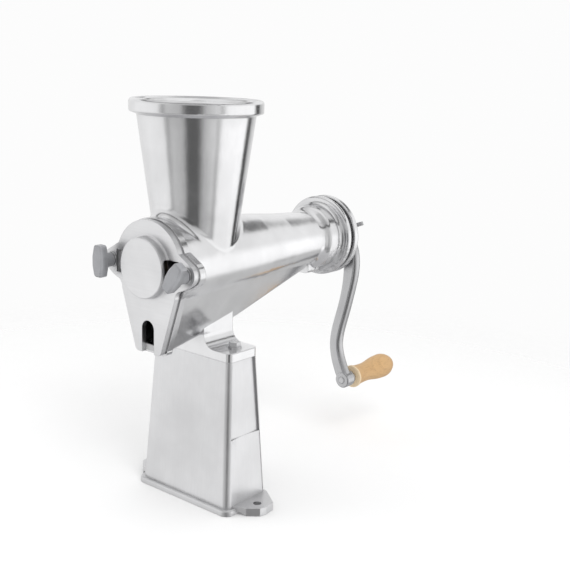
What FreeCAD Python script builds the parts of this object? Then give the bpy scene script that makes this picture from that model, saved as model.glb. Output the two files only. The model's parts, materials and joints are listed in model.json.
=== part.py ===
import FreeCAD, Part
import math
import os
import Sketcher
from FreeCAD import Placement, Rotation, Vector

# Hand-cranked auger fruit press: a cast aluminium press head on a tapered box stand.
# Frame: +Z up, origin on the table midway between the two foot bolts, front cover at -Y,
# crank at +Y, X across. Lengths are in mm.
# The press head and everything on it are drawn about the auger axis, which runs along Y at
# axis_height above the table.

DIMENSIONS = {
    "axis_height": 241,
    "wall": 5,
    # stand
    "stand_foot_x": 60,
    "stand_foot_y": 29,
    "stand_top_x": 52,
    "stand_top_y": 20,
    "stand_height": 149,
    "stand_wall": 8.5,
    "stand_long_wall": 10.5,
    "plinth_height": 6,
    "plinth_lip": 3.5,
    "lug_bolt_x": 73,
    "lug_hole_radius": 4,
    "lug_height": 8,
    "panel_depth": 2.2,
    "panel_ledge_z": 73,
    # foot plate and neck of the press head
    "plate_thickness": 9,
    "neck_half_x": 18,
    "neck_flare": 13,
    "saddle_bolt_x": 38,
    "saddle_bolt_y": 2,
    # barrel, measured along the auger axis
    "flange_y": -68,
    "flange_thickness": 7,
    "barrel_front_radius": 44,
    "barrel_middle_y": 60,
    "barrel_middle_radius": 35,
    "barrel_rear_y": 150,
    "barrel_rear_radius": 28,
    "bore_front_radius": 38.9,
    "bore_rear_y": 112,
    "bore_rear_radius": 27.5,
    "collar_y": 172,
    "collar_thickness": 8,
    "collar_radius": 43,
    "journal_radius": 10,
    "cap_y": 184,
    "cap_thickness": 8,
    "cap_screw_circle": 32.5,
    # juice trough under the barrel
    "trough_front_drop": 81,
    "trough_middle_y": 30,
    "trough_middle_drop": 63,
    "trough_rear_y": 137,
    "trough_rear_drop": 32.4,
    "trough_keel_half": 17,
    "trough_side_half": 35.3,
    "trough_side_drop": 24,
    # hopper
    "hopper_y": -14,
    "hopper_throat_radius": 30,
    "hopper_foot_radius": 42.5,
    "hopper_foot_rise": 42,
    "hopper_mouth_radius": 55,
    "hopper_rim_radius": 62,
    "hopper_rim_height": 12.5,
    "hopper_top_rise": 149,
    # front cover
    "gasket_thickness": 1.5,
    "cover_thickness": 5,
    "cover_radius": 43.3,
    "boss_radius": 28,
    "boss_height": 8.5,
    "ear_x": 49,
    "ear_radius": 10.5,
    "slot_half_width": 8,
    "slot_top_drop": 58,
    "window_half_height": 10.5,
    # knobs
    "knob_half_length": 15,
    "knob_half_width": 7.2,
    "knob_head_thickness": 8,
    "knob_neck_radius": 7,
    "knob_neck_length": 9,
    "stud_radius": 4,
    # auger
    "auger_front_radius": 36,
    "auger_rear_radius": 24.8,
    "auger_core_front": 16,
    "auger_core_rear": 12,
    "auger_pitch": 30,
    "flight_thickness": 4,
    "square_side": 14,
    "running_fit": 0.05,
    # crank
    "crank_length": 168,
    "crank_rest_angle": 9,
    "crank_y": 201,
    "crank_thickness": 11,
    "crank_hub_radius": 17,
    "grip_length": 76,
    "grip_radius": 14,
    "grip_gap": 5.6,
    "pin_radius": 4,
}

doc = FreeCAD.newDocument("FruitPress")
sheet = doc.addObject("Spreadsheet::Sheet", "Dimensions")
for row, (alias, number) in enumerate(DIMENSIONS.items(), 1):
    sheet.set(f"A{row}", alias)
    sheet.set(f"B{row}", str(number))
    sheet.setAlias(f"B{row}", alias)
doc.recompute()


class Size:
    """A length worked out from the sheet: its number, and the formula that gives it."""

    def __init__(self, number, formula):
        self.number = float(number)
        self.formula = formula

    def __add__(self, other):
        other = size(other)
        return Size(self.number + other.number, f"({self.formula} + {other.formula})")

    def __sub__(self, other):
        other = size(other)
        return Size(self.number - other.number, f"({self.formula} - {other.formula})")

    def __mul__(self, other):
        other = size(other)
        return Size(self.number * other.number, f"({self.formula} * {other.formula})")

    def __truediv__(self, other):
        other = size(other)
        return Size(self.number / other.number, f"({self.formula} / {other.formula})")

    def __neg__(self):
        return Size(-self.number, f"(0 - {self.formula})")

    def __radd__(self, other):
        return size(other) + self

    def __rsub__(self, other):
        return size(other) - self

    def __rmul__(self, other):
        return size(other) * self


def size(value):
    """A plain number as a Size; a Size as it is."""
    return value if isinstance(value, Size) else Size(value, f"({value:.6f})")


class Sheet:
    """The sheet's cells by name, each as a Size."""

    def __getattr__(self, alias):
        return Size(DIMENSIONS[alias], f"Dimensions.{alias}")


d = Sheet()

CAP_SCREW_ANGLES = [math.radians(60 + 120 * n) for n in range(3)]
SIDES = ((1, "right"), (-1, "left"))
DIAGONAL = math.sqrt(0.5)


def bind(thing, path, value):
    """Drives a property of an object from the sheet."""
    thing.setExpression(path, size(value).formula)


def new_body(label, x=0, y=0, z=0, turn=None):
    """An empty body whose origin is at a place worked out from the sheet."""
    body = doc.addObject("PartDesign::Body", label)
    body.Label = label
    base = Vector(*(size(v).number for v in (x, y, z)))
    body.Placement = Placement(base, turn or Rotation())
    for axis, value in zip("xyz", (x, y, z)):
        bind(body, f"Placement.Base.{axis}", value)
    return body


def origin_plane(body, role):
    return next(f for f in body.Origin.OriginFeatures if f.Role == role)


PLANES = {"top": ("XY_Plane", 1), "front": ("XZ_Plane", -1), "side": ("YZ_Plane", 1)}


def new_sketch(body, name, plane, offset=0):
    """A sketch on one of the body's planes, moved along +Z, +Y or +X by offset."""
    role, sign = PLANES[plane]
    sketch = body.newObject("Sketcher::SketchObject", name)
    sketch.AttachmentSupport = [(origin_plane(body, role), "")]
    sketch.MapMode = "FlatFace"
    shift = sign * size(offset)
    sketch.AttachmentOffset = Placement(Vector(0, 0, shift.number), Rotation())
    bind(sketch, "AttachmentOffset.Base.z", shift)
    return sketch


def arc_between(start, end, radius):
    """An arc from start to end; a positive radius turns left, a negative one right."""
    chord = end - start
    middle = (start + end) / 2
    away = math.sqrt(max(radius * radius - chord.Length**2 / 4, 0))
    normal = Vector(-chord.y, chord.x, 0).normalize()
    centre = middle + normal * math.copysign(away, radius)
    first, last = (start, end) if radius > 0 else (end, start)
    angles = [math.atan2(p.y - centre.y, p.x - centre.x) for p in (first, last)]
    circle = Part.Circle(centre, Vector(0, 0, 1), abs(radius))
    return Part.ArcOfCircle(circle, angles[0], angles[1])


def constrain(sketch, constraint, value):
    index = sketch.addConstraint(constraint)
    bind(sketch, f"Constraints[{index}]", value)


def outline(sketch, corners):
    """Closes a loop through corners (u, v), or (u, v, radius) where an arc leads there."""
    first = sketch.GeometryCount
    corners = [(size(c[0]), size(c[1]), *c[2:]) for c in corners]
    points = [Vector(u.number, v.number, 0) for u, v, *_ in corners]
    ends = []
    for n, corner in enumerate(corners):
        start, end = points[n - 1], points[n]
        if len(corner) == 3:
            radius = size(corner[2]).number
            sketch.addGeometry(arc_between(start, end, radius), False)
            ends.append((1, 2) if radius > 0 else (2, 1))
        else:
            sketch.addGeometry(Part.LineSegment(start, end), False)
            ends.append((1, 2))
    for n, (u, v, *arc) in enumerate(corners):
        after = (n + 1) % len(corners)
        here = (first + n, ends[n][1])
        sketch.addConstraint(
            Sketcher.Constraint("Coincident", *here, first + after, ends[after][0])
        )
        constrain(sketch, Sketcher.Constraint("DistanceX", -1, 1, *here, u.number), u)
        constrain(sketch, Sketcher.Constraint("DistanceY", -1, 1, *here, v.number), v)
        if arc:
            bow = size(arc[0])
            bow = bow if bow.number > 0 else -bow
            constrain(sketch, Sketcher.Constraint("Radius", first + n, bow.number), bow)


def circle(sketch, u, v, radius):
    u, v, radius = size(u), size(v), size(radius)
    centre = Vector(u.number, v.number, 0)
    n = sketch.addGeometry(Part.Circle(centre, Vector(0, 0, 1), radius.number), False)
    constrain(sketch, Sketcher.Constraint("DistanceX", -1, 1, n, 3, u.number), u)
    constrain(sketch, Sketcher.Constraint("DistanceY", -1, 1, n, 3, v.number), v)
    constrain(sketch, Sketcher.Constraint("Radius", n, radius.number), radius)


def rounded_box(half_u, half_v, radius, centre_v=0):
    """The corners of a rounded rectangle about the middle."""
    u, v, r = size(half_u), size(half_v), size(radius)
    top, low = centre_v + v, centre_v - v
    return [
        (u, low + r, r), (u, top - r), (u - r, top, r), (r - u, top),
        (-u, top - r, r), (-u, low + r), (r - u, low, r), (u - r, low),
    ]


def mirrored(half, over=()):
    """A loop from its right half, drawn upwards; over is the radius of an arc across the top."""
    left = []
    for n in range(len(half) - 1, -1, -1):
        u, v = half[n][:2]
        arc = half[n + 1][2:] if n + 1 < len(half) else over
        left.append((-size(u), v, *arc))
    return list(half) + left


def volume_change(body, feature, sign):
    """Recomputes, and stops if a feature added or removed nothing."""
    before = body.Shape.Volume if body.Tip and not body.Shape.isNull() else 0
    body.Tip = feature
    doc.recompute()
    if sign * (feature.Shape.Volume - before) < 1:
        raise RuntimeError(f"{body.Label}: {feature.Name} changes nothing")
    return feature


def pad(body, name, plane, offset, loops, length, cut=False):
    """Extrudes loops along +Z, +Y or +X from offset, as material or as a cut."""
    sketch = new_sketch(body, name + "Sketch", plane, offset)
    for loop in loops:
        circle(sketch, *loop) if isinstance(loop, tuple) else outline(sketch, loop)
    kind = "Pocket" if cut else "Pad"
    feature = body.newObject("PartDesign::" + kind, name)
    feature.Profile = sketch
    feature.Length = size(length).number
    bind(feature, "Length", length)
    # a pocket runs against its sketch's normal, and the front plane's normal is -Y
    feature.Reversed = (plane == "front") != cut
    sketch.Visibility = False
    return volume_change(body, feature, -1 if cut else 1)


def turn(body, name, plane, offset, loop, axis, cut=False):
    """Revolves a loop about its sketch's own H_Axis or V_Axis."""
    sketch = new_sketch(body, name + "Sketch", plane, offset)
    outline(sketch, loop)
    feature = body.newObject("PartDesign::" + ("Groove" if cut else "Revolution"), name)
    feature.Profile = sketch
    feature.ReferenceAxis = (sketch, [axis])
    feature.Angle = 360
    sketch.Visibility = False
    return volume_change(body, feature, -1 if cut else 1)


def loft(body, name, plane, sections, cut=False):
    """A ruled loft through (offset, loop) sections with equal numbers of corners."""
    sketches = []
    for n, (offset, loop) in enumerate(sections):
        sketch = new_sketch(body, f"{name}Section{n}", plane, offset)
        outline(sketch, loop)
        sketch.Visibility = False
        sketches.append(sketch)
    kind = "SubtractiveLoft" if cut else "AdditiveLoft"
    feature = body.newObject("PartDesign::" + kind, name)
    feature.Profile = sketches[0]
    feature.Sections = sketches[1:]
    feature.Ruled = True
    return volume_change(body, feature, -1 if cut else 1)


def is_freeform(edge):
    return type(edge.Curve).__name__ not in ("Circle", "Line")


def dress(body, name, kind, radius, wanted):
    """A fillet or chamfer on the edges whose middle point wanted() accepts."""
    tip = body.Tip
    names = []
    for n, edge in enumerate(tip.Shape.Edges, 1):
        middle = edge.valueAt((edge.FirstParameter + edge.LastParameter) / 2)
        if wanted(middle, edge):
            names.append(f"Edge{n}")
    if not names:
        raise RuntimeError(f"{body.Label}: {name} finds no edge")
    feature = body.newObject("PartDesign::" + kind, name)
    feature.Base = (tip, names)
    path = "Radius" if kind == "Fillet" else "Size"
    bind(feature, path, radius)
    body.Tip = feature
    doc.recompute()
    if feature.Shape.isNull() or not feature.Shape.isValid():
        raise RuntimeError(f"{body.Label}: {name} fails")
    return feature


def narrow_side_panel(body, side, name):
    """A shallow panel in the upper half of a narrow side, scooped out along its ledge."""
    def strip(height):
        taper = size(height) / d.stand_height
        face = d.stand_foot_x - (d.stand_foot_x - d.stand_top_x) * taper
        half = d.stand_foot_y - (d.stand_foot_y - d.stand_top_y) * taper - 4.5
        near, far = side * (face - d.panel_depth), side * (face + 5)
        return (height, [(near, -half), (far, -half), (far, half), (near, half)])

    loft(body, name + "Panel", "top", [strip(d.panel_ledge_z), strip(d.stand_height + 1)],
         cut=True)
    rise, reach = 13, 21
    radius = (reach * reach + d.panel_depth * d.panel_depth) / (2 * d.panel_depth)
    face = d.stand_foot_x - (d.stand_foot_x - d.stand_top_x) * (
        (d.panel_ledge_z + rise) / d.stand_height)
    scoop = body.newObject("PartDesign::SubtractiveSphere", name + "Scoop")
    scoop.AttachmentSupport = [(origin_plane(body, "XY_Plane"), "")]
    scoop.MapMode = "FlatFace"
    bind(scoop, "Radius", radius)
    bind(scoop, "AttachmentOffset.Base.x", side * (face - d.panel_depth + radius))
    bind(scoop, "AttachmentOffset.Base.z", d.panel_ledge_z + rise)
    volume_change(body, scoop, -1)


def stand():
    """The hollow tapered box, with its plinth and a bolted lug on each narrow side."""
    body = new_body("base_stand")
    outer_foot = rounded_box(d.stand_foot_x, d.stand_foot_y, 7)
    outer_top = rounded_box(d.stand_top_x, d.stand_top_y, 6)
    loft(body, "Box", "top", [(0, outer_foot), (d.stand_height, outer_top)])
    plinth = rounded_box(d.stand_foot_x + d.plinth_lip, d.stand_foot_y + d.plinth_lip, 9)
    pad(body, "Plinth", "top", 0, [plinth], d.plinth_height)
    for side, name in ((1, "Right"), (-1, "Left")):
        lug = [
            (side * (d.stand_foot_x - 2), -22), (side * d.lug_bolt_x, -16),
            (side * (d.lug_bolt_x + 10), -7), (side * (d.lug_bolt_x + 11.5), 0),
            (side * (d.lug_bolt_x + 10), 12), (side * (d.lug_bolt_x - 7), 24),
            (side * (d.stand_foot_x - 2), 28),
        ]
        pad(body, name + "Lug", "top", 0, [lug], d.lug_height)
        bolt = (side * d.lug_bolt_x, 0, d.lug_hole_radius)
        pad(body, name + "LugHole", "top", -1, [bolt], d.lug_height + 2, cut=True)
    narrow, long = d.stand_wall, d.stand_long_wall
    inner_foot = rounded_box(d.stand_foot_x - narrow, d.stand_foot_y - long, 4)
    inner_top = rounded_box(d.stand_top_x - narrow, d.stand_top_y - long, 3)
    roof = d.stand_height - d.stand_wall
    loft(body, "Hollow", "top", [(0, inner_foot), (roof, inner_top)], cut=True)
    for side, name in ((1, "Right"), (-1, "Left")):
        hole = (side * d.saddle_bolt_x, d.saddle_bolt_y, 3.3)
        pad(body, name + "SaddleHole", "top", roof - 1, [hole], d.stand_wall + 2, cut=True)
        narrow_side_panel(body, side, name)
        arch = [
            (side * (d.lug_bolt_x - 10), -1), (side * (d.lug_bolt_x - 10), 1.5),
            (side * (d.lug_bolt_x - 8), 3), (side * (d.lug_bolt_x - 2), 3),
            (side * d.lug_bolt_x, -1),
        ]
        pad(body, name + "LugArch", "front", -d.stand_foot_y - 8, [arch], 22, cut=True)
    dress(body, "PlinthEdge", "Fillet", 2, lambda p, e: (
        abs(p.z - d.plinth_height.number) < 0.1
        and (abs(p.y) > 30 and e.Length > 5 or abs(p.x) > 62 and abs(p.y) > 29)))
    return body


def front_half(grow=0):
    """The right half of the pear-shaped front outline, with its ear."""
    low = -d.trough_front_drop
    tip_u, tip_v = d.ear_x + d.ear_radius * 0.4, d.ear_radius * 0.917 + grow
    reach = d.cover_radius + grow
    return [
        (d.trough_keel_half - 4.5 + grow, low - grow),
        (d.trough_keel_half + 0.5 + grow, low + 4, 5),
        (d.trough_side_half + grow, -d.trough_side_drop),
        (d.ear_x - 9, -d.ear_radius * 1.55 - grow, -8),
        (tip_u, -tip_v, 40),
        (tip_u, tip_v, d.ear_radius + grow),
        (reach * 0.915, reach * 0.4035),
    ]


def press_head():
    """One casting: hopper, barrel, juice trough, front flange, rear collar and foot plate."""
    body = new_body("press_head", z=d.axis_height)
    seat = d.stand_height - d.axis_height
    plate = seat + d.plate_thickness - 0.5
    rear = d.collar_y
    step = d.barrel_rear_y
    rim_radius = d.collar_radius
    thin = d.barrel_rear_radius
    barrel = [
        (d.flange_y - 25, 0), (rear + d.collar_thickness + 4, 0),
        (rear + d.collar_thickness + 4, rim_radius - 7),
        (rear + d.collar_thickness, rim_radius - 7),
        (rear + d.collar_thickness, rim_radius - 3),
        (rear + d.collar_thickness - 3, rim_radius, 3), (rear + 3, rim_radius),
        (rear, rim_radius - 3, 3), (rear, thin + 10),
        (rear - 5, thin + 6.5, -5), (step + 9, thin + 5.8), (step + 3, thin + 3.2, 8),
        (step - 4, thin + 0.26, -12), (100, 31.2),
        (d.barrel_middle_y, d.barrel_middle_radius), (d.flange_y, d.barrel_front_radius),
        (d.flange_y - 25, d.barrel_front_radius + 2),
    ]
    turn(body, "Barrel", "side", 0, barrel, "H_Axis")
    cone = d.hopper_foot_rise + 2
    slope = (d.hopper_mouth_radius - d.hopper_foot_radius) / 89
    rim = d.hopper_top_rise - d.hopper_rim_height
    hopper = [
        (0, 10), (d.hopper_foot_radius - slope * (cone - 10), 10),
        (d.hopper_mouth_radius, rim - 2), (d.hopper_rim_radius - 2, rim),
        (d.hopper_rim_radius, rim + 2, 2), (d.hopper_rim_radius, d.hopper_top_rise - 3.5),
        (d.hopper_rim_radius - 3.5, d.hopper_top_rise, 3.5), (0, d.hopper_top_rise),
    ]
    turn(body, "Hopper", "front", d.hopper_y, hopper, "V_Axis")
    dress(body, "HopperRoot", "Fillet", 9, lambda p, e: (
        10 < p.z < 50 and e.Length > 30 and abs(p.y + 14) < 50 and is_freeform(e)))
    waste = [(-60, -60), (60, -60), (60, 60), (-60, 60)]
    pad(body, "FrontTrim", "front", d.flange_y - 30, [waste], 30, cut=True)
    sections = []
    for y, drop, keel, side, side_drop in (
            (d.flange_y, d.trough_front_drop, d.trough_keel_half, d.trough_side_half,
             d.trough_side_drop),
            (d.trough_middle_y, d.trough_middle_drop, d.trough_keel_half - 2, 31, 16),
            (d.trough_rear_y, d.trough_rear_drop, d.trough_keel_half - 4.5, 24, 7)):
        sections.append((y, mirrored([
            (keel - 5, -drop), (keel + 0.8, 4.5 - drop, 7),
            (side, -size(side_drop)), (size(side) - 0.5, 0),
        ])))
    loft(body, "Trough", "front", sections)
    flare = d.neck_half_x + d.neck_flare
    neck = mirrored([
        (d.stand_top_x, seat), (d.stand_top_x, plate - 1), (d.stand_top_x - 1, plate, 1),
        (flare, plate), (d.neck_half_x, plate + d.neck_flare, -d.neck_flare),
        (d.neck_half_x, -48),
    ])
    pad(body, "Neck", "front", -d.stand_top_y, [neck], 2 * d.stand_top_y)
    corners = []
    for u, v in ((1, 1), (-1, 1), (-1, -1), (1, -1)):
        x, y = u * d.stand_top_x, v * d.stand_top_y
        corners.append([
            (x - 6 * u, y), (x, y - 6 * v, -6 * u * v), (x + u, y - 6 * v), (x + u, y + v),
            (x - 6 * u, y + v),
        ])
    pad(body, "PlateCorners", "top", seat - 1, corners, d.plate_thickness + 2, cut=True)
    lug = mirrored([(5, 5 - rim_radius), (9, 9 - rim_radius, 4), (9, -20)])
    pad(body, "CollarLug", "front", step - 2, [lug], 20)
    flange = mirrored(front_half(1.2), over=(d.cover_radius + 1.2,))
    pad(body, "Flange", "front", d.flange_y, [flange], d.flange_thickness)
    hollow = [
        (0, d.hopper_top_rise + 1), (0, 0), (d.hopper_throat_radius, 0),
        (d.hopper_throat_radius, cone - 3), (d.hopper_foot_radius - d.wall, cone + 4),
        (d.hopper_mouth_radius - d.wall - 0.5, rim + 2),
        (d.hopper_rim_radius - 6, d.hopper_top_rise - 2, -20),
        (d.hopper_rim_radius - 5.5, d.hopper_top_rise + 1),
    ]
    turn(body, "HopperHollow", "front", d.hopper_y, hollow, "V_Axis", cut=True)
    bore = [
        (d.flange_y - 1, 0), (d.flange_y - 1, d.bore_front_radius + 0.2),
        (d.bore_rear_y, d.bore_rear_radius), (d.bore_rear_y, 25),
        (d.barrel_rear_y - 3, 25), (d.barrel_rear_y - 3, d.journal_radius + 4),
        (d.collar_y + 13, d.journal_radius + 4), (d.collar_y + 13, 0),
    ]
    turn(body, "Bore", "side", 0, bore, "H_Axis", cut=True)
    core = [
        (step + 4, 19), (rear + 13, 19), (rear + 13, d.barrel_rear_radius + 1),
        (step + 8, d.barrel_rear_radius + 1), (step + 4, d.barrel_rear_radius - 1),
    ]
    turn(body, "CollarCore", "side", 0, core, "H_Axis", cut=True)
    screws = [(d.cap_screw_circle * math.sin(a), d.cap_screw_circle * math.cos(a), 1.7)
              for a in CAP_SCREW_ANGLES]
    pad(body, "CapScrewHoles", "front", rear, screws, 13, cut=True)
    keel = d.trough_keel_half
    fore = mirrored([
        (keel - 9, d.wall + 0.5 - d.trough_front_drop),
        (keel - 4.6, d.wall + 3.5 - d.trough_front_drop, 5), (23, -40), (22, -20),
    ])
    mid = mirrored([
        (keel - 10, d.wall + 0.5 - d.trough_middle_drop),
        (keel - 6, d.wall + 3.5 - d.trough_middle_drop, 5), (19, -32), (19, -18),
    ])
    aft = mirrored([(6, -34), (8.5, -32, 5), (14, -24), (15, -16)])
    loft(body, "TroughHollow", "front",
         [(d.flange_y - 1, fore), (d.trough_middle_y, mid), (d.bore_rear_y - 6, aft)], cut=True)
    for side, name in ((1, "Right"), (-1, "Left")):
        hole = (side * d.saddle_bolt_x, d.saddle_bolt_y, 3.3)
        pad(body, name + "SaddleHole", "top", seat - 1, [hole], d.plate_thickness + 2, cut=True)
        stud = (side * d.ear_x, 0, d.stud_radius)
        pad(body, name + "StudHole", "front", d.flange_y - 1, [stud],
            d.flange_thickness + 3, cut=True)
    return body


def mouth_loop():
    """The opening in the front flange: the bore's circle and the trough below it."""
    low = d.wall + 1.5 - d.trough_front_drop
    radius = d.bore_front_radius + 0.3
    half = [
        (d.trough_keel_half - 9, low), (d.trough_keel_half - 4.6, low + 3, 5), (23, -40),
        (23, -31.75), (radius, 0, radius), (radius * DIAGONAL, radius * DIAGONAL, radius),
    ]
    return mirrored(half, over=(radius,))


def cover_gasket():
    body = new_body("cover_gasket", z=d.axis_height)
    loops = [mirrored(front_half(-1), over=(d.cover_radius - 1,)), mouth_loop()]
    loops += [(side * d.ear_x, 0, d.stud_radius + 0.3) for side, _ in SIDES]
    pad(body, "Sheet", "front", d.flange_y - d.gasket_thickness, loops, d.gasket_thickness)
    return body


def front_cover():
    """The pear-shaped cover, its round boss, the two pulp windows and the juice slot."""
    body = new_body("front_cover", z=d.axis_height)
    back = d.flange_y - d.gasket_thickness
    face = back - d.cover_thickness
    tip = face - d.boss_height
    plate = [mirrored(front_half(), over=(d.cover_radius,))]
    plate += [(side * d.ear_x, 0, d.stud_radius + 0.3) for side, _ in SIDES]
    pad(body, "Plate", "front", face, plate, d.cover_thickness)
    boss = [
        (tip, 0), (face + 1, 0), (face + 1, d.boss_radius + 2), (face, d.boss_radius + 2),
        (face - 2, d.boss_radius, -2), (tip + 1.2, d.boss_radius),
        (tip, d.boss_radius - 1.2, 1.2),
    ]
    turn(body, "Boss", "side", 0, boss, "H_Axis")
    pocket = [(tip + 3.5, 16), (back + 1, 16), (back + 1, 24), (tip + 3.5, 24)]
    turn(body, "BossHollow", "side", 0, pocket, "H_Axis", cut=True)
    bearing = [(tip + 4, 0), (back + 1, 0), (back + 1, 13), (tip + 4, 13)]
    turn(body, "BearingSeat", "side", 0, bearing, "H_Axis", cut=True)
    half = d.window_half_height
    window = [
        (back + 1, half), (tip + 5.5, half), (tip + 3, half - 2.5, 2.5),
        (tip + 3, 2.5 - half), (tip + 5.5, -half, 2.5), (back + 1, -half),
    ]
    reach = d.ear_x - d.stud_radius - 2.5
    pad(body, "WindowRight", "side", 21, [window], reach - 21, cut=True)
    pad(body, "WindowLeft", "side", -reach, [window], reach - 21, cut=True)
    low = -d.trough_front_drop - 3
    wide = d.slot_half_width
    crown = (wide * DIAGONAL, wide * DIAGONAL - d.slot_top_drop, wide)
    slot = mirrored([(wide, low), (wide, -d.slot_top_drop), crown], over=(wide,))
    pad(body, "JuiceSlot", "front", face - 1, [slot], d.cover_thickness + 2, cut=True)
    return body


def ring(label, x, y, length, outer, inner, chamfer=0.4, z=None):
    """A plain turned ring along Y, from y to y + length."""
    body = new_body(label, x=x, y=y, z=d.axis_height if z is None else z)
    loop = [
        (0, inner), (length, inner), (length, outer - chamfer),
        (length - chamfer, outer), (chamfer, outer), (0, outer - chamfer),
    ]
    turn(body, "Ring", "side", 0, loop, "H_Axis")
    return body


def front_bush():
    tip = d.flange_y - d.gasket_thickness - d.cover_thickness - d.boss_height
    return ring("front_bush", 0, tip + 5, 11, 13, d.journal_radius + d.running_fit)


def rear_bush():
    return ring("rear_bush", 0, d.barrel_rear_y + 6, 28, d.journal_radius + 4,
                d.journal_radius + d.running_fit)


def shaft_seal():
    return ring("shaft_seal", 0, d.barrel_rear_y - 1, 6, d.journal_radius + 4,
                d.journal_radius + 0.4)


def thrust_washer():
    return ring("thrust_washer", 0, d.barrel_rear_y - 5.2, 2, 16, d.journal_radius + 0.1)


def cover_studs():
    """Two studs screwed into the flange's ears; the knobs run on them."""
    body = new_body("cover_studs", z=d.axis_height)
    start = knob_seat() - 13.4
    end = d.flange_y + d.flange_thickness + 1.5
    rods = [(side * d.ear_x, 0, d.stud_radius) for side, _ in SIDES]
    pad(body, "Rods", "front", start, rods, end - start)
    dress(body, "Ends", "Chamfer", 0.8, lambda p, e: len(e.Vertexes) == 1)
    return body


def strainer_screen():
    """A perforated half-round screen lying in the bottom of the bore, over the trough."""
    front, rear = d.flange_y.number + 1, d.bore_rear_y.number - 1
    slope = (d.bore_rear_radius.number - d.bore_front_radius.number) / (
        d.bore_rear_y.number - d.flange_y.number)
    big = d.bore_front_radius.number - 0.2
    small = big + slope * (rear - front)
    sheet_metal = 1.2
    corners = [Vector(0, front, -big), Vector(0, rear, -small),
               Vector(0, rear, sheet_metal - small), Vector(0, front, sheet_metal - big)]
    section = Part.Face(Part.makePolygon(corners + corners[:1]))
    spread = 100
    section.rotate(Vector(), Vector(0, 1, 0), -spread / 2)
    shell = section.revolve(Vector(), Vector(0, 1, 0), spread)
    holes = []
    for row in range(14):
        y = front + 9 + row * 11.4
        for column in range(-2, 3):
            hole = Part.makeBox(2.2, 6.5, 50, Vector(-1.1, y, -50))
            hole.rotate(Vector(), Vector(0, 1, 0), column * 15 + (row % 2) * 7.5 - 3.75)
            holes.append(hole)
    part = doc.addObject("Part::Feature", "strainer_screen")
    part.Shape = shell.cut(Part.makeCompound(holes))
    part.Placement = Placement(Vector(0, 0, d.axis_height.number), Rotation())
    bind(part, "Placement.Base.z", d.axis_height)
    return part


def auger():
    """Conical screw, its journals, the square for the crank and the clamp screw's thread."""
    start = d.flange_y.number + 3.5
    length = d.bore_rear_y.number - 4 - start
    front, rear = d.auger_front_radius.number, d.auger_rear_radius.number
    core_front, core_rear = d.auger_core_front.number, d.auger_core_rear.number
    journal = d.journal_radius.number
    nose = d.flange_y.number - 9.5 - start
    shoulder = d.barrel_rear_y.number - 5.4 - start
    square_start = d.cap_y.number + 7 - start
    tail = d.crank_y.number + 5 - start

    def spun(profile):
        points = [Vector(r, 0, z) for z, r in profile]
        face = Part.Face(Part.makePolygon(points + points[:1]))
        return face.revolve(Vector(), Vector(0, 0, 1), 360)

    core = spun([
        (nose, 0), (nose, journal - 1), (nose + 1, journal), (0, journal), (0, core_front),
        (length, core_rear), (shoulder, core_rear - 1), (shoulder, journal),
        (square_start, journal), (square_start, 0),
    ])
    pitch = d.auger_pitch.number
    thick = d.flight_thickness.number
    helix = Part.makeHelix(pitch, length - 2 * thick, 20)
    reach = front + 6
    flight_corners = [Vector(8, 0, -thick / 2), Vector(reach, 0, -thick / 3),
                      Vector(reach, 0, thick / 3), Vector(8, 0, thick / 2)]
    profile = Part.makePolygon(flight_corners + flight_corners[:1])
    flight = Part.Wire(helix).makePipeShell([profile], True, True)
    flight.translate(Vector(0, 0, thick))
    envelope = spun([(0.5, 0), (0.5, front), (length - 0.5, rear), (length - 0.5, 0)])
    side = d.square_side.number
    corner = Vector(-side / 2, -side / 2, square_start)
    square = Part.makeBox(side, side, tail - square_start, corner)
    solid = core.fuse([flight.common(envelope), square])
    thread = Part.makeCylinder(d.stud_radius.number + 0.05, 20, Vector(0, 0, tail - 20))
    part = doc.addObject("Part::Feature", "auger")
    part.Shape = solid.cut(thread).removeSplitter()
    part.Placement = Placement(Vector(0, start, d.axis_height.number),
                               Rotation(Vector(1, 0, 0), -90))
    bind(part, "Placement.Base.z", d.axis_height)
    return part


def rear_cap():
    """The ring behind the collar that closes its cored back."""
    body = new_body("rear_cap", y=d.cap_y, z=d.axis_height)
    t = d.cap_thickness
    loop = [
        (0, 29.5), (t - 2.5, 29), (t - 2.5, 17), (2, 17), (2, 12),
        (t, d.journal_radius + 0.5), (t, d.collar_radius - 2.5),
        (t - 2.5, d.collar_radius, 2.5), (1.5, d.collar_radius),
        (0, d.collar_radius - 1.5, 1.5), (0, d.collar_radius - 2.5),
        (t - 3, d.collar_radius - 2.5), (t - 3, d.collar_radius - 7),
        (0, d.collar_radius - 7),
    ]
    turn(body, "Cap", "side", 0, loop, "H_Axis")
    screws = [(d.cap_screw_circle * math.sin(a), d.cap_screw_circle * math.cos(a), 2.2)
              for a in CAP_SCREW_ANGLES]
    pad(body, "ScrewHoles", "front", -1, screws, t + 2, cut=True)
    return body


def cap_screws():
    body = new_body("cap_screws", y=d.cap_y, z=d.axis_height)
    places = [(d.cap_screw_circle * math.sin(a), d.cap_screw_circle * math.cos(a))
              for a in CAP_SCREW_ANGLES]
    pad(body, "Heads", "front", d.cap_thickness, [(u, v, 3.5) for u, v in places], 2)
    pad(body, "Shanks", "front", -8, [(u, v, 1.7) for u, v in places], d.cap_thickness + 8)
    return body


def hexagon(u, v, across):
    radius = size(across) / math.sqrt(3)
    return [(u + radius * math.cos(math.radians(60 * n + 30)),
             v + radius * math.sin(math.radians(60 * n + 30))) for n in range(6)]


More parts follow.
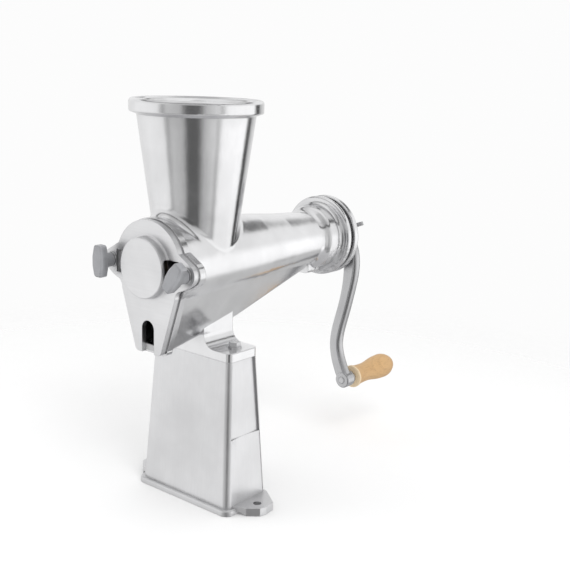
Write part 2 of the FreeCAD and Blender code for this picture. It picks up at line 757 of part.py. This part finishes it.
def saddle_bolts():
    """Two hexagon bolts through the foot plate and the stand's roof."""
    body = new_body("saddle_bolts", z=d.stand_height)
    seat = d.plate_thickness + 1
    places = [(side * d.saddle_bolt_x, d.saddle_bolt_y) for side, _ in SIDES]
    pad(body, "Heads", "top", seat, [hexagon(u, v, 10) for u, v in places], 4.2)
    depth = d.stand_wall + 8
    pad(body, "Shanks", "top", -depth, [(u, v, 3) for u, v in places], depth + seat)
    return body


def saddle_washers():
    body = new_body("saddle_washers", z=d.stand_height + d.plate_thickness - 0.5)
    loops = []
    for side, _ in SIDES:
        loops += [(side * d.saddle_bolt_x, d.saddle_bolt_y, r) for r in (6.5, 3.2)]
    pad(body, "Discs", "top", 0, loops, 1.5)
    return body


def saddle_nuts():
    body = new_body("saddle_nuts", z=d.stand_height - d.stand_wall)
    loops = []
    for side, _ in SIDES:
        place = (side * d.saddle_bolt_x, size(d.saddle_bolt_y))
        loops += [hexagon(*place, 10), (*place, 3)]
    pad(body, "Nuts", "top", -5, loops, 5)
    return body


# how far each knob's wings lean from upright when it is tight
KNOB_ANGLES = {"right": 35, "left": 0}


def knob_seat():
    """Where the knobs' washers end, in front of the cover."""
    return d.flange_y - d.gasket_thickness - d.cover_thickness - 1.6


def knob(side, name):
    """A moulded wing knob with a blind hole for its threaded insert."""
    body = new_body(f"knob_{name}", x=side * d.ear_x, y=knob_seat(), z=d.axis_height,
                    turn=Rotation(Vector(0, 1, 0), KNOB_ANGLES[name]))
    neck = -d.knob_neck_length
    end = neck - d.knob_head_thickness
    u, v = d.knob_half_width, d.knob_half_length
    wings = mirrored([
        (u * 0.42, -v), (u * 0.7, 1.6 - v, 3), (u, -v * 0.3), (u, v * 0.3),
        (u * 0.7, v - 1.6), (u * 0.42, v, 3),
    ])
    pad(body, "Wings", "front", end, [wings], d.knob_head_thickness)
    dress(body, "WingEdges", "Chamfer", 1.6, lambda p, e: abs(p.y - end.number) < 0.1)
    loop = [
        (0, 0), (0, d.knob_neck_radius - 1), (-0.5, d.knob_neck_radius - 0.5),
        (neck - 1, d.knob_neck_radius), (neck - 1, 0),
    ]
    turn(body, "Neck", "side", 0, loop, "H_Axis")
    insert = -(d.knob_neck_length + 3.5)
    hole = [(1, 0), (1, 5.6), (insert, 5.6), (insert, 4.4), (insert - 2, 4.4), (insert - 2, 0)]
    turn(body, "InsertHole", "side", 0, hole, "H_Axis", cut=True)
    return body


def knob_insert(side, name):
    return ring(f"knob_insert_{name}", side * d.ear_x, knob_seat() - d.knob_neck_length - 3.4,
                d.knob_neck_length + 3.4, 5.5, d.stud_radius + d.running_fit)


def knob_washer(side, name):
    return ring(f"knob_washer_{name}", side * d.ear_x, knob_seat() + 0.1, 1.4, 7.5,
                d.stud_radius + 0.4)


# The crank's centre line at rest as (across, drop, width), for a crank 168 long:
# out from the hub, down, back under it, and out again to the grip.
CRANK_CURVE = [
    (0, 0, 25), (14, 3, 23), (24, 14, 20), (28, 28, 18.5), (28, 44, 17), (25, 64, 15),
    (20, 86, 14.5), (14, 109, 14.5), (12, 127, 14.5), (16, 145, 15.5), (26, 166, 16),
]


def grip_place():
    angle = math.radians(d.crank_rest_angle.number)
    return d.crank_length * math.sin(angle), d.axis_height - d.crank_length * math.cos(angle)


def crank_arm():
    """A cast S-shaped arm in the plane of rotation, with a square-holed hub and a grip boss."""
    scale = d.crank_length.number / 168
    half_thick = d.crank_thickness.number / 2
    centre = [Vector(x, 0, -z) * scale for x, z, _ in CRANK_CURVE]
    line = Part.BSplineCurve()
    line.interpolate(centre)
    edges = ([], [])
    for point, (_, _, width) in zip(centre, CRANK_CURVE):
        along = line.tangent(line.parameter(point))[0]
        across = along.cross(Vector(0, 1, 0)) * width / 2
        edges[0].append(point + across)
        edges[1].append(point - across)
    curves = []
    for points in edges:
        curve = Part.BSplineCurve()
        curve.interpolate(points)
        curves.append(curve.toShape())
    caps = [Part.makeLine(edges[0][n], edges[1][n]) for n in (0, -1)]
    face = Part.Face(Part.Wire(Part.__sortEdges__(curves + caps)))
    bar = face.extrude(Vector(0, 2 * half_thick, 0))
    bar.translate(Vector(0, -half_thick, 0))
    long_edges = [e for e in bar.Edges if e.Length > 100]
    bar = bar.makeFillet(4.2, long_edges)
    along_y = Vector(0, 1, 0)
    hub = Part.makeCylinder(d.crank_hub_radius.number, 12, Vector(0, -6, 0), along_y)
    x, z = grip_place()
    end = Vector(x.number, -half_thick - 1, z.number - d.axis_height.number)
    boss = Part.makeCylinder(9, 2 * half_thick + 2, end, along_y)
    hub = hub.makeChamfer(1.5, [e for e in hub.Edges if len(e.Vertexes) == 1])
    boss = boss.makeChamfer(1, [e for e in boss.Edges if len(e.Vertexes) == 1])
    side = d.square_side.number + 0.2
    square = Part.makeBox(side, 20, side, Vector(-side / 2, -10, -side / 2))
    pin = Part.makeCylinder(d.pin_radius.number, 20, end - along_y, along_y)
    part = doc.addObject("Part::Feature", "crank_arm")
    part.Shape = bar.fuse([hub, boss]).cut([square, pin]).removeSplitter()
    part.Placement = Placement(Vector(0, d.crank_y.number, d.axis_height.number), Rotation())
    bind(part, "Placement.Base.y", d.crank_y)
    bind(part, "Placement.Base.z", d.axis_height)
    return part


def crank_washer():
    return ring("crank_washer", 0, d.crank_y + 6.1, 2, 12, d.stud_radius + 0.4)


def thumb_screw():
    """The winged screw that clamps the crank on the auger's square end."""
    body = new_body("thumb_screw", y=d.crank_y + 8.2, z=d.axis_height,
                    turn=Rotation(Vector(0, 1, 0), -24))
    loop = [
        (-22, 0), (-22, d.stud_radius - 0.8), (-21.2, d.stud_radius), (0, d.stud_radius),
        (0, 7), (1, 8), (7, 7.5), (10, 5, 3), (10, 0),
    ]
    turn(body, "Shank", "side", 0, loop, "H_Axis")
    wings = mirrored([
        (4, 1), (12, 2.5), (24, 7.5), (28.3, 12.5, 5), (24, 15.5, 3.5), (13, 9, -30), (5, 9),
    ])
    pad(body, "Wings", "top", -2, [wings], 4)
    return body


def grip_pin():
    x, z = grip_place()
    body = new_body("grip_pin", x=x, y=d.crank_y, z=z)
    front, back = -d.crank_thickness / 2 - 1, d.crank_thickness / 2 + 1
    r = d.pin_radius
    end = back + d.grip_gap + d.grip_length - 14
    loop = [
        (front - 1.2, 0), (front - 1.2, r - 1), (front, r), (end - 1, r), (end, r - 1), (end, 0),
    ]
    turn(body, "Pin", "side", 0, loop, "H_Axis")
    return body


def grip_washer():
    x, z = grip_place()
    start = d.crank_y + d.crank_thickness / 2 + 1
    return ring("grip_washer", x, start, 1.4, 8.5, d.pin_radius + 0.1, z=z)


def grip_lock_nut():
    x, z = grip_place()
    body = new_body("grip_lock_nut", x=x, y=d.crank_y + d.crank_thickness / 2 + 2.4, z=z)
    pad(body, "Nut", "front", 0, [hexagon(0, 0, 13), (0, 0, d.pin_radius)], 3.2)
    return body


def wood_grip():
    """The turned wooden grip, loose on its pin."""
    x, z = grip_place()
    start = d.crank_y + d.crank_thickness / 2 + 1 + d.grip_gap
    body = new_body("wood_grip", x=x, y=start, z=z)
    length, r = d.grip_length, d.grip_radius
    bore = d.pin_radius + 0.4
    loop = [
        (0, bore), (0, r - 2.2), (1.2, r - 1.2, -1.2), (4, r - 1.6, -8), (13, r - 3, 30),
        (36, r - 2.2, 90), (length * 0.75, r, -110), (length - 7, r - 3, -22),
        (length, 4, -11), (length, 0), (length - 11, 0), (length - 11, bore),
    ]
    turn(body, "Turned", "side", 0, loop, "H_Axis")
    return body


makers = [
    stand, press_head, cover_gasket, front_cover, front_bush, rear_bush, shaft_seal,
    thrust_washer, cover_studs, strainer_screen, auger, rear_cap, cap_screws, saddle_bolts,
    saddle_washers, saddle_nuts, crank_arm, crank_washer, thumb_screw, grip_pin, grip_washer,
    grip_lock_nut, wood_grip,
]
pieces = [make() for make in makers]
for side, name in SIDES:
    pieces += [knob(side, name), knob_insert(side, name), knob_washer(side, name)]
doc.recompute()
for item in doc.Objects:
    if {"Invalid", "Error"} & set(item.State):
        raise RuntimeError(f"{item.Name}: {item.State}")
os.makedirs("parts", exist_ok=True)
for piece in pieces:
    shape = piece.Shape
    if shape.isNull() or not shape.isValid() or not shape.Solids:
        raise RuntimeError(f"{piece.Label}: bad shape")
    shape.exportStep(f"parts/{piece.Label}.step")
    g = shape.CenterOfGravity
    print(f"{piece.Label:20s} solids {len(shape.Solids)} volume {shape.Volume / 1000:8.2f} cc "
          f"centre {g.x:7.1f} {g.y:7.1f} {g.z:7.1f}")
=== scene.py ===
import json
import math

import bpy
from mathutils import Matrix, Vector


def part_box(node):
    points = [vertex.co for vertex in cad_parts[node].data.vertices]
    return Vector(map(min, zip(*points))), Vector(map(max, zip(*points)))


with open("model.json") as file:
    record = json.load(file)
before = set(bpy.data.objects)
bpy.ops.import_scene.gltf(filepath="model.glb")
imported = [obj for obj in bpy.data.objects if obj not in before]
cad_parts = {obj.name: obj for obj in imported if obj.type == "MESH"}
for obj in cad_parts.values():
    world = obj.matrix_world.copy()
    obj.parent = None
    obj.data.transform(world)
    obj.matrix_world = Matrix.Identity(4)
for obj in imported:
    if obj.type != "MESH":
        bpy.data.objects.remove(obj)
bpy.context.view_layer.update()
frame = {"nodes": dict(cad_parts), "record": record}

NODES = frame["nodes"]
SLOT_OF = {s["node"]: s["material_slot"] for s in frame["record"]["subparts"]}


# ---------------------------------------------------------------- node helpers
class Tree:
    """Short calls for building a shader's nodes."""

    def __init__(self, tree):
        self.tree = tree

    def add(self, kind, settings=None, **inputs):
        node = self.tree.nodes.new(kind)
        for key, value in (settings or {}).items():
            setattr(node, key, value)
        for key, value in inputs.items():
            self.set(node, key.replace("_", " "), value)
        return node

    def set(self, node, key, value):
        socket = node.inputs[key]
        if isinstance(value, bpy.types.NodeSocket):
            self.tree.links.new(value, socket)
        else:
            socket.default_value = value

    def math(self, operation, a, b=0.0, c=0.0, clamp=False):
        node = self.tree.nodes.new("ShaderNodeMath")
        node.operation = operation
        node.use_clamp = clamp
        for socket, value in zip(node.inputs, (a, b, c)):
            if isinstance(value, bpy.types.NodeSocket):
                self.tree.links.new(value, socket)
            else:
                socket.default_value = value
        return node.outputs[0]

    def ramp(self, factor, stops, interpolation="LINEAR"):
        node = self.tree.nodes.new("ShaderNodeValToRGB")
        ramp = node.color_ramp
        ramp.interpolation = interpolation
        while len(ramp.elements) < len(stops):
            ramp.elements.new(0.5)
        for element, (at, colour) in zip(ramp.elements, stops):
            element.position = at
            if not isinstance(colour, (tuple, list)):
                colour = (colour, colour, colour)
            element.color = (*colour, 1)
        self.tree.links.new(factor, node.inputs[0])
        return node.outputs[0]

    def noise(self, where, scale, detail=4.0, roughness=0.5, distortion=0.0):
        node = self.add("ShaderNodeTexNoise", Scale=scale, Detail=detail,
                        Roughness=roughness, Distortion=distortion, Vector=where)
        return node.outputs["Fac"]

    def place(self, where, scale=(1, 1, 1), location=(0, 0, 0), rotation=(0, 0, 0)):
        node = self.add("ShaderNodeMapping", Scale=scale, Location=location,
                        Rotation=rotation, Vector=where)
        return node.outputs[0]

    def mix(self, factor, a, b, blend="MIX"):
        node = self.tree.nodes.new("ShaderNodeMix")
        node.data_type = "RGBA"
        node.blend_type = blend
        for name, value in (("Factor_Float", factor), ("A_Color", a), ("B_Color", b)):
            socket = next(s for s in node.inputs if s.identifier == name)
            if isinstance(value, bpy.types.NodeSocket):
                self.tree.links.new(value, socket)
            else:
                socket.default_value = value
        return next(s for s in node.outputs if s.identifier == "Result_Color")

    def bump(self, height, strength, distance, normal=None):
        node = self.add("ShaderNodeBump", Height=height, Strength=strength, Distance=distance)
        if normal is not None:
            self.set(node, "Normal", normal)
        return node.outputs[0]


def new_material(name):
    material = bpy.data.materials.new(name)
    material.use_nodes = True
    tree = Tree(material.node_tree)
    shader = material.node_tree.nodes["Principled BSDF"]
    where = tree.add("ShaderNodeTexCoord").outputs["Object"]
    return material, tree, shader, where


def aluminium(name, tint, roughness, spread, ripple, grain, streak_axis="Z", hollow_shade_amount=0.35, pits=0.0,
              raw_cast=False):
    """Cast aluminium: cloudy tone, polishing streaks, hand-polished ripple, and painted shade that darkens
    and roughens hollows and creases.

    raw_cast leaves the underside of the rear collar as it came from the sand."""
    material, t, shader, where = new_material(name)
    clouds = t.noise(where, 16.0, 3.0, 0.55)
    stretch = {"X": (0.04, 1, 1), "Y": (1, 0.04, 1), "Z": (1, 1, 0.04)}[streak_axis]
    streaks = t.noise(t.place(where, stretch), 620.0, 5.0, 0.6)
    fine = t.noise(where, 950.0, 2.0, 0.5)
    low = tuple(c * 0.86 for c in tint) + (1,)
    high = tuple(min(c * 1.06, 1) for c in tint) + (1,)
    tone = t.mix(t.ramp(clouds, [(0.3, 0.0), (0.7, 1.0)]), low, high)
    tone = t.mix(t.math("MULTIPLY", streaks, 0.35), tone, tuple(c * 0.8 for c in tint) + (1,))
    # Painted shade: ambient occlusion darkens hollows, creases and joints toward near-black, and also
    # roughens them.
    hollow = t.add("ShaderNodeAmbientOcclusion", {"samples": 6}, Distance=0.012)
    shade = t.math("SUBTRACT", 1.0, hollow.outputs["AO"])
    hollow_shade_and_edge_wear = t.math("MULTIPLY", t.math("POWER", shade, 1.6), hollow_shade_amount, clamp=True)
    tone = t.mix(hollow_shade_and_edge_wear, tone, (0.10, 0.10, 0.105, 1))
    t.set(shader, "Base Color", tone)
    shader.inputs["Metallic"].default_value = 1.0
    rough = t.math("MULTIPLY_ADD", clouds, spread, roughness - spread / 2)
    rough = t.math("MULTIPLY_ADD", streaks, spread * 0.9, t.math("SUBTRACT", rough, spread * 0.45))
    rough = t.math("MULTIPLY_ADD", hollow_shade_and_edge_wear, 0.35, rough, clamp=True)
    t.set(shader, "Roughness", rough)
    rounded = t.add("ShaderNodeBevel", {"samples": 4}, Radius=0.0007).outputs[0]
    normal = t.bump(t.noise(where, 46.0, 2.0, 0.5), ripple, 0.0012, rounded)
    normal = t.bump(streaks, grain, 0.00012, normal)
    normal = t.bump(fine, grain * 0.8, 0.0001, normal)
    if pits:
        cells = t.add("ShaderNodeTexVoronoi", Scale=420.0, Vector=where)
        pit = t.ramp(cells.outputs["Distance"], [(0.05, 0.0), (0.16, 1.0)])
        sparse = t.ramp(t.noise(where, 60.0, 2.0), [(0.56, 1.0), (0.62, 0.0)])
        normal = t.bump(t.math("MAXIMUM", pit, sparse), pits, 0.0003, normal)
    if raw_cast:
        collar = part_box("rear_cap")
        split = t.add("ShaderNodeSeparateXYZ", Vector=where)
        behind = t.math("MULTIPLY_ADD", split.outputs["Y"], 60.0,
                        -60.0 * (collar[0].y - 0.034), clamp=True)
        below = t.math("MULTIPLY_ADD", split.outputs["Z"], -60.0,
                       60.0 * (collar[0].z + collar[1].z) / 2 - 0.1, clamp=True)
        mask = t.math("MULTIPLY", behind, below)
        lumps = t.math("MULTIPLY", t.noise(where, 150.0, 3.0, 0.6, 0.4), mask)
        normal = t.bump(lumps, 0.9, 0.0035, normal)
        t.set(shader, "Roughness", t.math("MULTIPLY_ADD", mask, 0.22, rough, clamp=True))
    t.set(shader, "Normal", normal)
    return material


def steel(name, tint, roughness):
    """Bright turned steel with fine machining lines."""
    material, t, shader, where = new_material(name)
    lines = t.noise(t.place(where, (0.05, 1, 0.05)), 2600.0, 3.0, 0.5)
    smudge = t.noise(where, 90.0, 3.0, 0.6)
    tone = t.mix(smudge, tuple(c * 0.8 for c in tint) + (1,), (*tint, 1))
    t.set(shader, "Base Color", tone)
    shader.inputs["Metallic"].default_value = 1.0
    t.set(shader, "Roughness", t.math("MULTIPLY_ADD", smudge, 0.18, roughness - 0.06))
    t.set(shader, "Normal", t.bump(lines, 0.25, 0.00008))
    return material


def plastic(name, colour, roughness):
    """Moulded plastic with a fine spark-eroded texture and handling shine."""
    material, t, shader, where = new_material(name)
    fine = t.noise(where, 1500.0, 3.0, 0.6)
    shine = t.noise(where, 70.0, 3.0, 0.6)
    dark = tuple(c * 0.75 for c in colour) + (1,)
    light = tuple(c * 1.3 for c in colour) + (1,)
    tone = t.mix(shine, dark, light)
    edge = t.add("ShaderNodeNewGeometry").outputs["Pointiness"]
    hollow_shade_and_edge_wear = t.ramp(edge, [(0.52, 0.0), (0.6, 1.0)])
    tone = t.mix(t.math("MULTIPLY", hollow_shade_and_edge_wear, 0.35), tone, tuple(c * 2.4 + 0.02 for c in colour) + (1,))
    t.set(shader, "Base Color", tone)
    t.set(shader, "Roughness", t.math("MULTIPLY_ADD", shine, 0.2, roughness - 0.1))
    t.set(shader, "Normal", t.bump(fine, 0.3, 0.00015))
    return material


def rubber(name):
    """Dusty grey rubber."""
    material, t, shader, where = new_material(name)
    dust = t.noise(where, 220.0, 4.0, 0.6)
    t.set(shader, "Base Color", t.mix(dust, (0.42, 0.42, 0.425, 1), (0.56, 0.56, 0.565, 1)))
    t.set(shader, "Roughness", t.math("MULTIPLY_ADD", dust, 0.25, 0.6))
    t.set(shader, "Normal", t.bump(dust, 0.2, 0.0002))
    return material


def wood(name):
    """Turned hardwood: growth rings along the grip, pores, and darker handled areas."""
    material, t, shader, where = new_material(name)
    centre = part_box("wood_grip")
    middle = (centre[0] + centre[1]) / 2
    local = t.place(where, location=(-middle.x + 0.006, 0, -middle.z + 0.004))
    warp = t.noise(t.place(local, (1, 0.25, 1)), 45.0, 3.0, 0.5)
    split = t.add("ShaderNodeSeparateXYZ", Vector=local)
    x, z = split.outputs["X"], split.outputs["Z"]
    radius = t.math("SQRT", t.math("ADD", t.math("MULTIPLY", x, x), t.math("MULTIPLY", z, z)))
    ring = t.math("MULTIPLY_ADD", warp, 0.9, t.math("MULTIPLY", radius, 520.0))
    ring = t.math("FRACT", ring)
    ring = t.ramp(ring, [(0.0, 0.15), (0.55, 0.45), (0.9, 1.0), (1.0, 0.15)])
    fibre = t.noise(t.place(where, (1, 0.03, 1)), 1100.0, 4.0, 0.6)
    pores = t.ramp(t.noise(t.place(where, (1, 0.05, 1)), 1700.0, 2.0, 0.5), [(0.3, 1.0), (0.42, 0.0)])
    tone = t.mix(t.math("MULTIPLY", ring, 0.45), (0.64, 0.395, 0.175, 1), (0.44, 0.245, 0.10, 1))
    tone = t.mix(t.math("MULTIPLY", fibre, 0.45), tone, (0.72, 0.50, 0.27, 1))
    tone = t.mix(t.math("MULTIPLY", pores, 0.5), tone, (0.22, 0.12, 0.05, 1))
    grime = t.noise(where, 55.0, 3.0, 0.6)
    tone = t.mix(t.math("MULTIPLY", grime, 0.25), tone, (0.34, 0.20, 0.09, 1))
    start = centre[0].y
    end_grain = t.math("MULTIPLY_ADD", split.outputs["Y"], -600.0, 600.0 * (start + 0.0026), clamp=True)
    tone = t.mix(t.math("MULTIPLY", end_grain, 0.8), tone, (0.80, 0.66, 0.46, 1))
    t.set(shader, "Base Color", tone)
    t.set(shader, "Roughness", t.math("MULTIPLY_ADD", fibre, 0.2, 0.38))
    height = t.math("MULTIPLY_ADD", pores, -1.0, fibre)
    t.set(shader, "Normal", t.bump(height, 0.25, 0.0002))
    return material


MATERIALS = {
    "stand_aluminium": aluminium("stand_cast", (0.80, 0.80, 0.81), 0.36, 0.14, 0.10, 0.30, "Z", 0.5, 0.35),
    "head_aluminium": aluminium("head_polished", (0.84, 0.84, 0.85), 0.17, 0.09, 0.14, 0.16, "Z", 0.5, 0.2,
                                raw_cast=True),
    "cover_aluminium": aluminium("cover_satin", (0.82, 0.82, 0.83), 0.34, 0.12, 0.10, 0.30, "X", 0.35, 0.3),
    # The crank's darker tint is painted reflection: a darker copy of the polished aluminium standing in for
    # the dark reflection on its faces.
    "crank_aluminium": aluminium("crank_polished_painted_dark", (0.56, 0.56, 0.57), 0.24, 0.12, 0.12, 0.22, "Z", 0.5, 0.2),
    "auger_aluminium": aluminium("auger_machined", (0.68, 0.68, 0.69), 0.34, 0.12, 0.08, 0.30, "Y", 0.4, 0.2),
    "thumb_aluminium": aluminium("thumb_die_cast", (0.52, 0.52, 0.53), 0.38, 0.12, 0.10, 0.25, "X", 0.5, 0.3),
    "steel": steel("bright_steel", (0.72, 0.72, 0.73), 0.26),
    "bronze": steel("turned_bronze", (0.72, 0.52, 0.28), 0.30),
    "white_acetal": plastic("white_acetal", (0.62, 0.62, 0.58), 0.4),
    "rubber": rubber("gasket_rubber"),
    "knob_plastic": plastic("knob_plastic", (0.24, 0.243, 0.255), 0.40),
    "grip_wood": wood("grip_wood"),
}

for name, node in NODES.items():
    node.data.materials.clear()
    node.data.materials.append(MATERIALS[SLOT_OF[name]])
    for polygon in node.data.polygons:
        polygon.use_smooth = True
    node.data.set_sharp_from_angle(angle=math.radians(32))


# ---------------------------------------------------------------- stage, light and camera
def studio_world():
    """Soft studio surroundings: pale to the camera, with soft boxes and dark gaps to reflect."""
    world = bpy.data.worlds.new("studio")
    bpy.context.scene.world = world
    world.use_nodes = True
    t = Tree(world.node_tree)
    world.node_tree.nodes.clear()
    toward = t.add("ShaderNodeTexCoord").outputs["Generated"]
    split = t.add("ShaderNodeSeparateXYZ", Vector=toward)
    x, y, z = (split.outputs[k] for k in "XYZ")
    # azimuth from the +X, -Y side, where the camera stands: 0 there, -0.5 and 0.5 behind
    facing = math.radians(CAMERA_AZIMUTH)
    across = t.math("ADD", t.math("MULTIPLY", x, math.cos(facing)),
                    t.math("MULTIPLY", y, math.sin(facing)))
    ahead = t.math("SUBTRACT", t.math("MULTIPLY", x, math.sin(facing)),
                   t.math("MULTIPLY", y, math.cos(facing)))
    turn = t.math("DIVIDE", t.math("ARCTAN2", across, ahead), 2 * math.pi)
    turn = t.math("ADD", turn, 0.5)

    def degrees(angle):
        return 0.5 + angle / 360

    # what lies well below the horizon, about the horizon, and above it
    low = t.ramp(turn, [
        (0.0, 0.62), (degrees(-135), 0.78), (degrees(-110), 0.95), (degrees(-66), 1.05),
        (degrees(-58), 1.00), (degrees(-50), 0.38), (degrees(-18), 0.36), (degrees(-14), 0.06),
        (degrees(-9), 0.26), (degrees(6), 0.24), (degrees(11), 0.05), (degrees(16), 0.36),
        (degrees(50), 0.40), (degrees(60), 1.50), (degrees(90), 1.50), (degrees(104), 0.76),
        (degrees(150), 0.72), (degrees(176), 0.62),
    ])
    level = t.ramp(turn, [
        (0.0, 0.85), (degrees(-135), 0.92), (degrees(-110), 1.05), (degrees(-62), 1.05),
        (degrees(-54), 0.40), (degrees(-46), 0.70), (degrees(-22), 0.60), (degrees(-12), 0.12),
        (degrees(10), 0.12), (degrees(22), 0.60), (degrees(44), 0.85), (degrees(50), 0.42),
        (degrees(58), 1.15), (degrees(112), 1.30), (degrees(120), 1.30), (degrees(125), 0.06),
        (degrees(136), 0.06), (degrees(142), 0.60), (degrees(160), 0.85),
    ])
    high = t.ramp(turn, [
        (0.0, 0.98), (degrees(-120), 0.95), (degrees(-60), 0.88), (degrees(-30), 0.62),
        (degrees(30), 0.62), (degrees(70), 0.95), (degrees(130), 1.0), (degrees(176), 0.98),
    ])
    height = t.math("MULTIPLY_ADD", z, 0.5, 0.5)
    seen = t.mix(t.ramp(height, [(0.15, 0.0), (0.21, 1.0)]), (0.86, 0.86, 0.87, 1), low)
    seen = t.mix(t.ramp(height, [(0.25, 0.0), (0.30, 1.0)]), seen, level)
    seen = t.mix(t.ramp(height, [(0.50, 0.0), (0.60, 1.0)]), seen, high)
    upper = t.ramp(height, [
        (0.0, 0.60), (0.22, 0.82), (0.40, 0.95), (0.765, 1.0), (0.785, 0.05),
        (0.812, 0.05), (0.83, 0.85), (0.90, 0.78), (0.94, 1.0), (1.0, 1.05),
    ])
    seen = t.mix(1.0, seen, upper, "MULTIPLY")
    path = t.add("ShaderNodeLightPath")
    colour = t.mix(path.outputs["Is Diffuse Ray"], seen, (0.92, 0.92, 0.92, 1))
    colour = t.mix(path.outputs["Is Camera Ray"], colour, (0.975, 0.975, 0.975, 1))
    shader = t.add("ShaderNodeBackground", Color=colour, Strength=1.0)
    out = t.add("ShaderNodeOutputWorld")
    world.node_tree.links.new(shader.outputs[0], out.inputs["Surface"])


def area_light(name, place, target, width, height, power):
    """A soft lamp that lights the floor and grip; the metal mirrors only the surroundings."""
    light = bpy.data.lights.new(name, "AREA")
    light.shape = "RECTANGLE"
    light.size, light.size_y = width, height
    light.energy = power
    lamp = bpy.data.objects.new(name, light)
    bpy.context.scene.collection.objects.link(lamp)
    lamp.location = place
    lamp.visible_glossy = False
    lamp.rotation_euler = (Vector(target) - Vector(place)).to_track_quat("-Z", "Y").to_euler()


CAMERA_AZIMUTH = 39.3
CAMERA_PLACE = Vector((0.6389, -0.6512, 0.4265))
CAMERA_TARGET = Vector((0.0497, 0.0687, 0.2083))
CAMERA_ROLL = 1.8
PRESS_MIDDLE = (0, 0.05, 0.2)


def camera():
    """The main view: a long lens from the front right, a little above the press."""
    data = bpy.data.cameras.new("photo_view")
    data.sensor_width = 36.0
    data.lens = 60.94
    data.shift_x = -0.0093
    data.shift_y = 0.0033
    data.clip_start, data.clip_end = 0.01, 100
    view = bpy.data.objects.new("photo_view", data)
    bpy.context.scene.collection.objects.link(view)
    look = (CAMERA_TARGET - CAMERA_PLACE).to_track_quat("-Z", "Y").to_matrix().to_4x4()
    view.matrix_world = (Matrix.Translation(CAMERA_PLACE) @ look
                         @ Matrix.Rotation(math.radians(CAMERA_ROLL), 4, "Z"))
    bpy.context.scene.camera = view


def floor():
    """A pale round floor that fades into the background before its edge."""
    mesh = bpy.data.meshes.new("floor")
    count, reach = 96, 3.0
    ring = [(reach * math.cos(2 * math.pi * n / count), reach * math.sin(2 * math.pi * n / count), -0.0002)
            for n in range(count)]
    mesh.from_pydata(ring, [], [tuple(range(count))])
    plane = bpy.data.objects.new("floor", mesh)
    bpy.context.scene.collection.objects.link(plane)
    material, t, shader, where = new_material("floor")
    grain = t.noise(where, 8.0, 3.0, 0.5)
    t.set(shader, "Base Color", t.mix(grain, (0.915, 0.915, 0.915, 1), (0.94, 0.94, 0.94, 1)))
    shader.inputs["Roughness"].default_value = 0.8
    split = t.add("ShaderNodeSeparateXYZ", Vector=where)
    x, y = split.outputs["X"], split.outputs["Y"]
    away = t.math("SQRT", t.math("ADD", t.math("MULTIPLY", x, x), t.math("MULTIPLY", y, y)))
    t.set(shader, "Alpha", t.ramp(away, [(0.28, 1.0), (0.85, 0.0)], "EASE"))
    mesh.materials.append(material)
    plane.visible_glossy = False


studio_world()
camera()
floor()
area_light("key", (1.3, -0.6, 1.6), PRESS_MIDDLE, 1.0, 1.2, 14)
area_light("fill", (-1.4, -1.0, 1.0), PRESS_MIDDLE, 1.2, 1.2, 6)
bpy.context.scene.view_settings.view_transform = "Standard"
